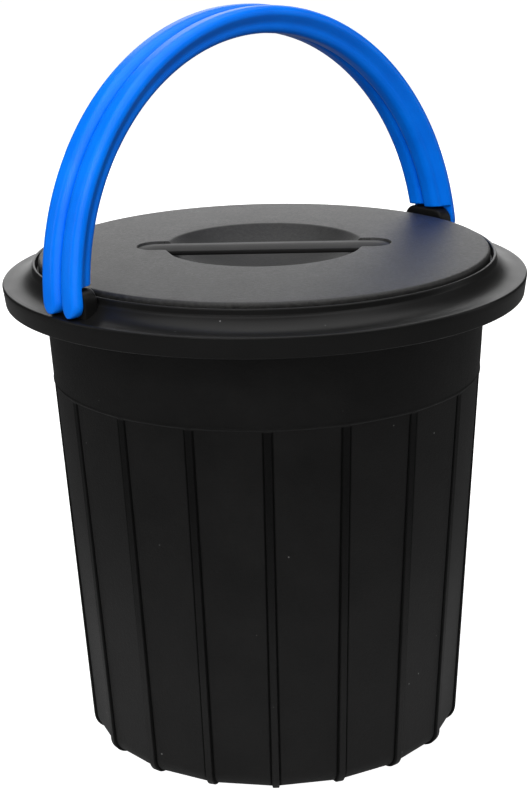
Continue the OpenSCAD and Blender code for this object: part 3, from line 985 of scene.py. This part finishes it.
# %% [markdown]
# Each finished piece is tied to the body it moves with and stands for its node of the packed
# model, which is then hidden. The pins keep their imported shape, since a plain cylinder is all
# that they are, and only get their finish.
# %% Tie the pieces to their bodies
PIECES = [
    (bucket, "base", "bucket", "bucket_plastic", bucket_plastic),
    (seat_rim, "base", "seat_rim", "rim_plastic", rim_plastic),
    (lid, "lid", "lid", "lid_plastic", lid_plastic),
    (bar, "lid", "lid_grip_bar", "grip_plastic", bar_plastic),
    (front_handle, "front_handle", "front_handle", "handle_plastic", handle_plastic),
    (rear_handle, "rear_handle", "rear_handle", "handle_plastic", handle_plastic)]
for piece, body, node, slot, material in PIECES:
    piece.data.materials.append(material)
    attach(piece, body)
    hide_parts(node)
for piece in lugs:
    piece.data.materials.append(rim_plastic)
    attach(piece, "base")
for name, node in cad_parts.items():
    if name.endswith("_pivot_pin"):
        node.data.materials.clear()
        node.data.materials.append(pin_steel)
print("pieces:", [p[0].name for p in PIECES] + [p.name for p in lugs])

# %% [markdown]
# The studio is a pale room. The object is black, so what shapes it is what it reflects: large
# soft lights behind, above and at the sides draw its edges, and the side towards the camera
# stays dim so that the bucket stays black. The pale floor and the room are seen by the camera
# only; a second, darker floor bounces a little light up, and a paler disc close to the bucket
# lights its foot. The two fill lights aren't reflected: they only bring out the blue.
# %% Studio
def stage_material(name, colour, glow):
    f = Finish(name)
    f.shader.inputs["Base Color"].default_value = grey(colour)
    f.shader.inputs["Roughness"].default_value = 0.9
    f.shader.inputs["Emission Color"].default_value = grey(1.0)
    f.shader.inputs["Emission Strength"].default_value = glow
    return f.material


def seen_by(piece, camera_only):
    """Shows a piece to the camera alone, or to everything except the camera."""
    piece.visible_camera = camera_only
    piece.visible_diffuse = not camera_only
    piece.visible_glossy = not camera_only
    piece.visible_shadow = not camera_only


ROOM_R = 8000.0
stage_turns = np.linspace(0, 2 * math.pi, 96, endpoint=False)
room = skin("room", revolve(arc(0, 0, ROOM_R, -86, 86, 4), stage_turns),
            first_pole=(0, 0, -ROOM_R), last_pole=(0, 0, ROOM_R))
room.data.materials.append(stage_material("room_white", 0.0, 1.0))
seen_by(room, True)
floor_rings = np.column_stack([np.geomspace(60, ROOM_R * 0.98, 24), np.zeros(24)])
floor = skin("pale_floor", revolve(floor_rings - [0, 0.02], stage_turns), first_pole=(0, 0, -0.02))
floor.data.materials.append(stage_material("floor_pale", 0.5, 1.0))
seen_by(floor, True)
bounce = skin("bounce_floor", revolve(floor_rings[:16] - [0, 0.6], stage_turns), first_pole=(0, 0, -0.6))
bounce.data.materials.append(stage_material("floor_bounce", 0.2, 0.0))
near_rings = np.column_stack([np.linspace(60, 360, 12), np.full(12, -0.4)])
near_bounce = skin("near_bounce_floor", revolve(near_rings, stage_turns), first_pole=(0, 0, -0.4))
near_bounce.data.materials.append(stage_material("floor_near_bounce", 0.6, 0.0))
for hidden in (bounce, near_bounce):
    seen_by(hidden, False)


# %% Lights
def soft_light(name, across, towards, height, size_across, size_up, radiance, reflected=True):
    """A flat soft light. Its place is across metres to the camera's right, towards metres
    beyond the object and height metres up, and it looks at the object. Its power is its
    brightness times pi times its area. A light that isn't reflected only brightens matt colour."""
    place = across * right + towards * ahead + height * above
    aim = np.array([0, 0, 0.25])
    back = (place - aim) / np.linalg.norm(place - aim)
    side = np.cross(above, back)
    side = right if np.linalg.norm(side) < 1e-6 else side / np.linalg.norm(side)
    matrix = np.eye(4)
    matrix[:3, 0], matrix[:3, 1], matrix[:3, 2], matrix[:3, 3] = side, np.cross(back, side), back, place
    data = bpy.data.lights.new(name, "AREA")
    data.shape = "RECTANGLE"
    data.size, data.size_y = size_across, size_up
    data.energy = radiance * math.pi * size_across * size_up
    light = bpy.data.objects.new(name, data)
    light.matrix_world = matrix.T.tolist()
    light.visible_camera = False
    light.visible_glossy = reflected
    bpy.context.scene.collection.objects.link(light)
    return light


soft_light("light_back", 0.0, 2.2, 0.9, 2.0, 2.0, 1.4)
soft_light("light_top", 0.0, 0.3, 2.3, 2.4, 2.0, 1.5)
soft_light("light_left", -1.9, -0.2, 1.0, 0.5, 1.6, 1.1)
soft_light("light_right", 2.0, 0.3, 0.8, 0.6, 1.6, 0.8)
soft_light("light_front", -0.7, -1.9, 2.0, 1.6, 0.5, 2.4)
soft_light("light_front_right", 1.3, -0.9, 2.0, 1.4, 0.6, 1.8)
soft_light("fill_front", -0.4, -2.4, 1.2, 3.2, 2.4, 2.1, reflected=False)
soft_light("fill_top", -0.4, -1.2, 2.3, 2.6, 1.8, 2.2, reflected=False)

world = bpy.data.worlds.new("studio")
world.use_nodes = True
world.node_tree.nodes["Background"].inputs["Color"].default_value = grey(0.06)
bpy.context.scene.world = world
bpy.context.scene.view_settings.view_transform = "Standard"
